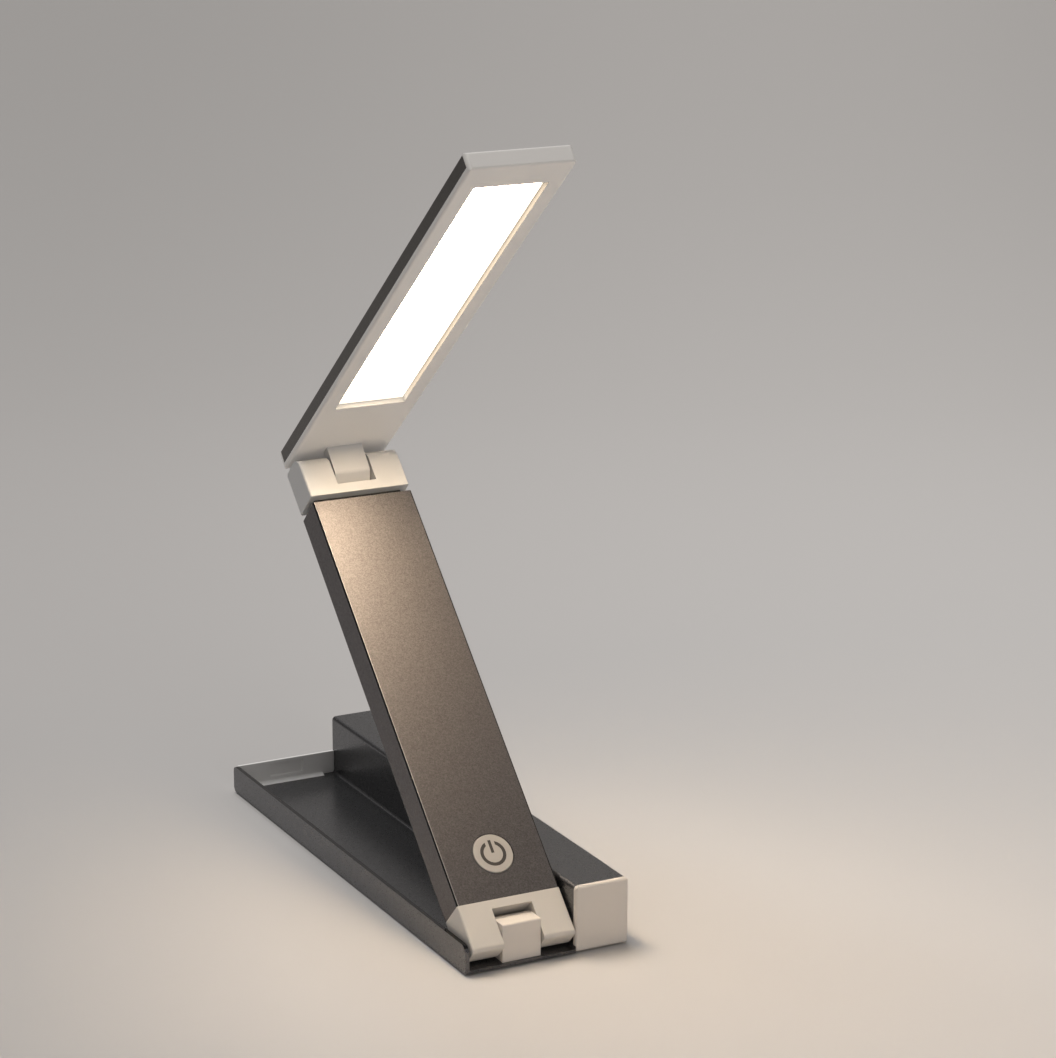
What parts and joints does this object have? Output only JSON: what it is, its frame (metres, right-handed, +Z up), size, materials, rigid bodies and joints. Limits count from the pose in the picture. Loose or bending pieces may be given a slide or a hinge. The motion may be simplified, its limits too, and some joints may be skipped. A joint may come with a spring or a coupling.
{
  "type": "folding led desk lamp",
  "caption": "Flat folding rechargeable LED desk lamp: tray base with a battery block, hinged arm with a push button, and a hinged flat light head.",
  "frame": {"origin": "centre of the base's footprint on the table, under the non-slip pad", "axes": "+Z up, +Y towards the back of the base, +X towards the battery block on the right"},
  "size_m": [0.061, 0.1981, 0.27],
  "materials": {
    "dark_metal": "satin dark brown-grey coating with a fine metallic grain on extruded and folded aluminium",
    "white_plastic": "satin white moulded ABS",
    "button_plastic": "smooth white moulded button",
    "symbol_ink": "dark inlay in the button's face",
    "pad_rubber": "matt black non-slip pad",
    "steel": "plain bright steel",
    "spring_brass": "plain stamped brass",
    "indicator_plastic": "translucent light pipe",
    "black_plastic": "matt black moulding",
    "cell_can": null,
    "board_green": "green solder mask",
    "wire_red": "silicone wire insulation",
    "inner_plastic": "plain grey inner moulding",
    "diffuser_opal": "opal sheet, lit",
    "clear_guide": "clear acrylic sheet",
    "reflector_white": "white reflective film",
    "led_strip": "white-masked aluminium strip",
    "led_yellow": "phosphor-coated light-emitting diodes"
  },
  "bodies": {
    "base": {"base_shell": "dark_metal", "base_pad": "pad_rubber", "tray_end_wall": "white_plastic", "block_front_cap": "white_plastic", "block_rear_cap": "white_plastic", "rear_cap_screws": "steel", "charge_indicator": "indicator_plastic", "base_knuckle": "white_plastic", "knuckle_screws": "steel", "lower_hinge_pin": "steel", "lower_hinge_washers": "steel", "battery_holder": "black_plastic", "battery_cells": "cell_can", "battery_contacts": "spring_brass", "charge_board": "board_green", "charge_board_parts": "black_plastic", "charge_board_screws": "steel", "charging_socket": "steel", "base_wires": "wire_red"},
    "arm": {"arm_sleeve": "dark_metal", "lower_fork": "white_plastic", "upper_fork": "white_plastic", "fork_screws": "steel", "arm_spine": "inner_plastic", "control_board": "board_green", "control_board_parts": "black_plastic", "control_board_screws": "steel", "button_switch": "black_plastic", "arm_wires": "wire_red"},
    "button": {"power_button": "button_plastic", "power_symbol": "symbol_ink", "switch_plunger": "black_plastic"},
    "head": {"head_frame": "white_plastic", "head_cover": "dark_metal", "head_tongue": "white_plastic", "tongue_screws": "steel", "upper_hinge_pin": "steel", "upper_hinge_washers": "steel", "diffuser": "diffuser_opal", "light_guide": "clear_guide", "reflector_sheet": "reflector_white", "led_board": "led_strip", "leds": "led_yellow", "head_wires": "wire_red"}
  },
  "joints": [
    {"name": "arm_fold", "type": "hinge", "parent": "base", "child": "arm", "pos_m": [-0.00925, -0.09105, 0.0085], "axis": [1, 0, 0], "range_deg": [-44.3, 45.7]},
    {"name": "head_tilt", "type": "hinge", "parent": "arm", "child": "head", "pos_m": [-0.00925, 0.03878, 0.13519], "axis": [-1, 0, 0], "range_deg": [-85, 4.8]},
    {"name": "button_press", "type": "slide", "parent": "arm", "child": "button", "axis": [0, 0.6984, -0.7157], "range_m": [0, 0.0005], "stiffness_N_per_m": 500, "springref_m": -0.001}
  ]
}
